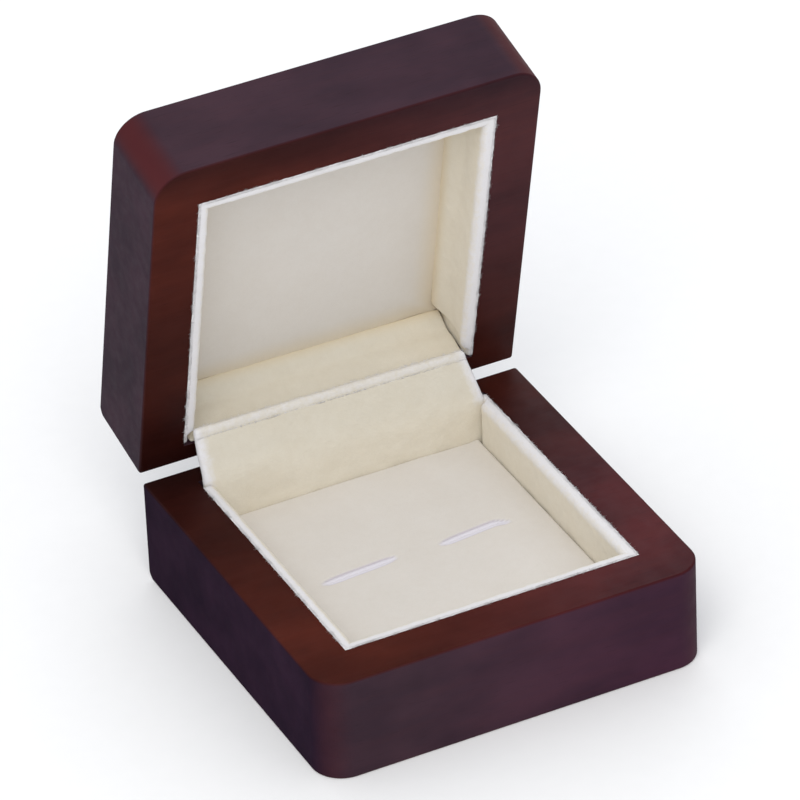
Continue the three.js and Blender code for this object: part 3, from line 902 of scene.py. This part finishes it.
def soft_box(name, low, high, radius, step, material):
    verts, faces = rounded_box(low, high, radius, step)
    obj = mesh_object(name, verts, faces, material)
    face_outward(obj)
    return obj


def puff(obj, held, most, pressure=4.0):
    """Blows a closed cover up as cloth. held marks the points glued down, most limits how far any moves."""
    start = read_points(obj)
    group = obj.vertex_groups.new(name="held")
    group.add([int(i) for i in np.flatnonzero(held)], 1.0, "REPLACE")
    cloth = obj.modifiers.new("cloth", "CLOTH")
    settings = cloth.settings
    settings.vertex_group_mass = "held"
    settings.use_pressure = True
    settings.uniform_pressure_force = pressure
    settings.effector_weights.gravity = 0
    scene = bpy.context.scene
    for frame_number in range(1, CLOTH_FRAMES + 1):
        scene.frame_set(frame_number)
    shown = obj.evaluated_get(bpy.context.evaluated_depsgraph_get())
    moved = np.empty(len(start) * 3)
    shown.data.vertices.foreach_get("co", moved)
    obj.modifiers.clear()
    obj.vertex_groups.clear()
    scene.frame_set(1)
    push = moved.reshape(-1, 3) - start
    size = np.linalg.norm(push, axis=1, keepdims=True)
    write_points(obj, start + push * most / (most + size))


def finer(obj):
    obj.modifiers.new("finer", "SUBSURF").levels = 1
    applied(obj)


def lid_rear_board():
    """The lid's rear board, which swells forward into the corner with the panel."""
    low, high = shut_box("lid_liner_rear")
    low = low + Vector((-1.0, 0, 0)) * MM
    high = high + Vector((1.0, 0, 0.45)) * MM
    obj = soft_box("lid_rear_velvet", low, high, 0.45 * MM, (0.8 * MM, 0.5 * MM, 0.4 * MM), VELVET)
    points = read_points(obj)
    deep = ramp(points[:, 2], high.z - REAR_FILLET, high.z)
    reach = 2.4 * MM - 0.5 * MM * points[:, 0] / high.x
    front = (high.y - points[:, 1]) / (high.y - low.y)
    shallow = 1 - ramp(points[:, 2], low.z + 2 * MM, low.z + 6 * MM)
    points[:, 1] += (0.3 * MM * shallow - deep * reach) * front
    write_points(obj, points)
    # Painted shade deep in the corner with the panel.
    paint(obj, "crease_shade", 0.8 * ramp(points[:, 2], high.z - 2.5 * MM, high.z))
    # Painted shade over the board, more towards its left end.
    paint(obj, "painted_dim", 0.75 - 0.55 * ramp(points[:, 0], 5 * MM, high.x))
    ruffle(obj, 0.014 * MM, 0.12 * MM, 3 * MM)
    obj.data.transform(LID_OPEN)
    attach(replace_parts(obj, "lid_liner_rear"), "lid")


def lid_panel():
    """The padded board inside the lid's top."""
    low, high = shut_box("lid_panel")
    obj = soft_box("lid_panel_velvet", low, high, 0.7 * MM, (1.5 * MM, 1.5 * MM, 0.6 * MM), PAD_VELVET)
    held = read_points(obj)[:, 2] > low.z + 0.75 * MM
    puff(obj, held, 0.9 * MM)
    finer(obj)
    ruffle(obj, 0.012 * MM, 0.12 * MM, 7 * MM)
    points = read_points(obj)
    to_side = np.minimum(high.x - points[:, 0], points[:, 0] - low.x)
    to_end = np.minimum(high.y - points[:, 1], points[:, 1] - low.y)
    # Painted shade round the panel's edges.
    paint(obj, "crease_shade", 0.75 * (1 - ramp(np.minimum(to_side, to_end), 2.5 * MM, 9 * MM)))
    obj.data.transform(LID_OPEN)
    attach(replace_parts(obj, "lid_panel"), "lid")


def slit_shape(x, y, slit, middle):
    """(drop, how lilac, how much painted shadow lies on its edge) of the pad's face at points near one slit.
    """
    slit_x, slit_y, length, turn, hook = slit
    share = (x - slit_x) / (length / 2)
    inside = np.abs(share) < 1
    line = middle + slit_y + (x - slit_x) * math.tan(math.radians(turn)) - hook * ramp(share, 0.55, 1.05)
    half = SLIT_WIDTH / 2 * np.clip(1 - np.abs(share) ** 7, 0.0, 1) ** 0.7
    off = np.abs(y - line) / np.maximum(half, 1e-6)
    lip = 1 - ramp(off, 0.72, 1.18)
    mouth = np.exp(-((off / 0.16) ** 2))
    bank = np.exp(-(((off - 0.98) / 0.2) ** 2))
    fade = np.clip(half / (SLIT_WIDTH / 2) * 1.6, 0, 1) * inside
    drop = fade * (0.22 * MM * lip + 0.20 * MM * mouth + 0.20 * MM * bank)
    return drop, fade * (1 - ramp(off, 0.80, 1.02)), fade * bank


def ring_pad():
    """The foam pad: its cover is drawn tight over a low crown, and parts in two slits."""
    low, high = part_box("ring_pad")
    low = low + Vector((-0.15, -0.15, 0)) * MM
    high = high + Vector((-0.05, 0.15, 0)) * MM
    obj = soft_box("ring_pad_velvet", low, high, 0.8 * MM, (1.5 * MM, 1.5 * MM, 1.2 * MM), PAD_VELVET)
    puff(obj, read_points(obj)[:, 2] < high.z - 0.85 * MM, 0.45 * MM)
    finer(obj)
    middle = (low.y + high.y) / 2
    ruffle(obj, 0.010 * MM, 0, MM)
    slit_rows(obj, middle + 0.6 * MM, 2.9 * MM)
    points = read_points(obj)
    on_top = points[:, 2] > high.z - 0.4 * MM
    x, y = points[:, 0], points[:, 1]
    drop, lilac, slit_shadow = np.sum([slit_shape(x, y, slit, middle) for slit in SLITS], axis=0)
    waves = np.array([noise.noise(Vector(p) / (8 * MM)) for p in points])
    points[:, 2] += on_top * (0.10 * MM * waves - drop)
    write_points(obj, points)
    paint(obj, "slit", lilac * on_top)
    # Painted shadow along the slits' edges.
    paint(obj, "slit_shadow", slit_shadow * on_top)
    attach(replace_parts(obj, "ring_pad"), "base")


def slit_rows(obj, y, reach):
    """Cuts the pad's faces into fine rows on both sides of the slits."""
    bm = bmesh.new()
    bm.from_mesh(obj.data)
    for step, span in ((0.35 * MM, reach), (0.12 * MM, reach * 0.75)):
        count = round(span / step)
        for i in range(-count, count + 1):
            row = y + i * step
            near = [face for face in bm.faces if crosses(face, row)]
            touched = {v for f in near for v in f.verts} | {e for f in near for e in f.edges} | set(near)
            place = {"plane_co": (0, row, 0), "plane_no": (0, 1, 0)}
            bmesh.ops.bisect_plane(bm, geom=list(touched), dist=1e-7, **place)
    bm.to_mesh(obj.data)
    bm.free()
    obj.data.shade_smooth()


def crosses(face, y):
    places = [v.co.y for v in face.verts]
    return min(places) < y < max(places)


def flap_curve(run):
    """(y, z, lean) of the flap's middle line, a distance up from its bend; below that the flap is upright."""
    steep, shallow = math.radians(FLAP_LEAN), math.radians(FLAP_TOP_LEAN)
    y, z, lean = 0.0, 0.0, 0.0
    if run <= 0:
        return y, run, lean
    pieces = 30
    step = run / pieces
    for i in range(pieces):
        at = (i + 0.5) * step
        lean = steep * float(ramp(at, 0, 7 * MM)) - (steep - shallow) * float(ramp(at, 8 * MM, 12 * MM))
        y += math.sin(lean) * step
        z += math.cos(lean) * step
    return y, z, lean


def flap_fringe(obj, curve_at, side_at):
    """Fibres along the flap's two ends and its hem."""
    fringe = Fringe("flap")
    forward = Vector((0, -1, 0))
    rows = [FLAP_BEND + (FLAP_RISE - FLAP_BEND) * i / 14 for i in range(-2, 15)]
    for side in (-1, 1):
        for low_row, high_row in zip(rows, rows[1:]):
            first, last = (
                curve_at(side_at(side, row) - side * 0.1 * MM, row, 0.2 * MM) for row in (low_row, high_row)
            )
            fringe.along(first, last, Vector((side, 0, 0)), forward, 22, 0, 0.4 * MM)
    hem = ((0.15 * MM, 0.0, Vector((0, 0.5, 0.8)), 24), (FLAP_BAND, FLAP_T / 2, Vector((0, 0, -1)), 12))
    for depth, out, lean, per_mm in hem:
        first, last = (curve_at(side_at(side, FLAP_RISE), FLAP_RISE - depth, out) for side in (-1, 1))
        fringe.along(first, last, lean, forward, per_mm, 0.2 * MM)
    fringe.add_to(obj)


def hinge_flap():
    """One velvet covered strip: upright in the base pocket, folding back over the hinges to the lid's rim."""
    fixed_low, fixed_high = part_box("flap_fixed_board")
    centre_y = (fixed_low.y + fixed_high.y) / 2 - 0.15 * MM
    bend_z = RIM - FLAP_BEND
    half = fixed_high.x

    def side_at(side, row):
        """Where an end of the flap is at a height: both ends narrow above the pocket, to fit into the lid."""
        at_rim, narrowing = FLAP_ENDS[side]
        risen = min(1.0, max(0.0, (row - FLAP_BEND) / (FLAP_RISE - FLAP_BEND)))
        return side * (half - at_rim * float(ramp(row, 0, FLAP_BEND)) - narrowing * risen**0.8)

    def curve_at(x, row, forward):
        stretch = 1 + FLAP_LIFT / FLAP_RISE * (0.5 - 0.5 * x / half) if row > 0 else 1
        y, z, lean = flap_curve(row * stretch)
        return Vector((x, centre_y + y - forward * math.cos(lean), bend_z + z + forward * math.sin(lean)))

    low = Vector((-half, -FLAP_T / 2, fixed_low.z - bend_z))
    high = Vector((half, FLAP_T / 2, FLAP_RISE))
    verts, faces = rounded_box(low, high, 0.8 * MM, (0.5 * MM, 0.4 * MM, 0.25 * MM))
    rim, shade, painted_dim, bent = [], [], [], []
    for v in verts:
        x = v.x * abs(side_at(1 if v.x > 0 else -1, v.z)) / half
        wander = 0.25 * MM * noise.noise(Vector((v.x / (1.3 * MM), 3.1, 0)))
        from_top = FLAP_RISE - v.z + wander
        groove = 0.06 * MM * math.exp(-(((from_top - FLAP_BAND) / (0.3 * MM)) ** 2))
        roll = 0.11 * MM * float(1 - ramp(from_top, 0.5 * FLAP_BAND, FLAP_BAND))
        # Above the pocket its back is flatter, to keep clear of the wood and of the lid's boards.
        back = 1 - 0.6 * float(ramp(v.z, 0, FLAP_BEND)) if v.y > 0 else 1
        bent.append(curve_at(x, v.z, -v.y * back + (roll - groove if v.y < 0 else 0)))
        hem = 0.5 * (1 - float(ramp(from_top, FLAP_BAND - 0.7 * MM, FLAP_BAND + 0.4 * MM)))
        hem *= 1 - max(0.0, v.y) / (FLAP_T / 2)
        end = float(ramp(abs(v.x), half - 3.8 * MM, half - 0.2 * MM)) * float(ramp(v.z, 0.5 * MM, 3.5 * MM))
        # The hem and the ends take the painted white sheen.
        rim.append(max(hem, 0.85 * end))
        # Painted shade low down, near the pad.
        shade.append(0.25 * (1 - float(ramp(v.z, fixed_low.z - bend_z, -2.5 * MM))))
        # Painted shade on the part above the bend.
        painted_dim.append(float(ramp(v.z, 0, 7 * MM)))
    obj = mesh_object("hinge_flap_velvet", bent, faces, VELVET)
    paint(obj, "rim", rim)
    paint(obj, "crease_shade", shade)
    paint(obj, "painted_dim", painted_dim)
    face_outward(obj)
    ruffle(obj, 0.016 * MM, 0.14 * MM, 3.5 * MM)
    flap_fringe(obj, curve_at, side_at)
    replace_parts(obj, "flap_fixed_board", "flap_folding_board")
    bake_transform(obj)


def base_felt():
    low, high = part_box("base_felt")
    obj = soft_box("underside_felt", low, high, 0.25 * MM, (1.2 * MM, 1.2 * MM, 0.5 * MM), FELT)
    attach(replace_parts(obj, "base_felt"), "base")


def fittings():
    """The hinges, screws and card keep their CAD shapes and get their metals."""
    for name, node in frame["nodes"].items():
        if "leaf" in name or "screw" in name:
            finish = BRASS
        elif "pin" in name or "spring" in name:
            finish = STEEL
        elif name == "pad_card":
            finish = CARD
        else:
            continue
        node.data.materials.clear()
        node.data.materials.append(finish)


# ---------------------------------------------------------------- stage


def stage_floor():
    size = 3.0
    verts = [(-size, -size, 0), (size, -size, 0), (size, size, 0), (-size, size, 0)]
    n = Nodes("floor")
    grain = n.noise(4 * MM, 2, 0.5)
    colour = n.mix(grain, (0.935, 0.937, 0.94), (0.955, 0.957, 0.96))
    material = n.finish(Base_Color=colour, Roughness=0.85, Specular_IOR_Level=0.2)
    mesh_object("floor", verts, [(0, 1, 2, 3)], material)


def area_light(name, place, target, size, power, colour):
    data = bpy.data.lights.new(name, "AREA")
    data.shape = "RECTANGLE"
    data.size, data.size_y = size
    data.energy = power
    data.color = colour
    obj = bpy.data.objects.new(name, data)
    obj.location = place
    obj.rotation_euler = (Vector(target) - Vector(place)).to_track_quat("-Z", "Y").to_euler()
    bpy.context.scene.collection.objects.link(obj)


def lights():
    world = bpy.data.worlds.new("studio")
    world.use_nodes = True
    background = world.node_tree.nodes["Background"]
    background.inputs["Color"].default_value = (0.955, 0.97, 1.0, 1)
    background.inputs["Strength"].default_value = 0.76
    bpy.context.scene.world = world
    target = (0, 0.01, 0.05)
    area_light("key", (-0.35, -0.55, 0.85), target, (0.7, 0.7), 5.0, (1.0, 0.985, 0.96))
    area_light("back_sheen", (0.25, 0.75, 0.55), target, (0.9, 0.5), 2.0, (0.94, 0.96, 1.0))


def camera():
    centre = (Vector(CAD_BOX[0]) + Vector(CAD_BOX[1])) / 2
    azimuth, elevation, roll = (math.radians(a) for a in (CAMERA_AZIMUTH, CAMERA_ELEVATION, CAMERA_ROLL))
    flat = math.cos(elevation)
    forward = Vector((math.sin(azimuth) * flat, math.cos(azimuth) * flat, -math.sin(elevation)))
    level = forward.cross(Vector((0, 0, 1))).normalized()
    lift = level.cross(forward)
    right = level * math.cos(roll) + lift * math.sin(roll)
    up = right.cross(forward)
    data = bpy.data.cameras.new("camera")
    data.lens = CAMERA_LENS
    data.sensor_width = 36.0
    obj = bpy.data.objects.new("camera", data)
    turn = Matrix((right, up, -forward)).transposed().to_4x4()
    obj.matrix_world = Matrix.Translation(centre + CAMERA_AIM - forward * CAMERA_DISTANCE) @ turn
    bpy.context.scene.collection.objects.link(obj)
    bpy.context.scene.camera = obj


camera()
lights()
stage_floor()
base_wood()
lid_wood()
base_boards()
lid_boards()
lid_rear_board()
lid_panel()
ring_pad()
hinge_flap()
base_felt()
fittings()

bpy.context.scene.view_settings.view_transform = "Standard"
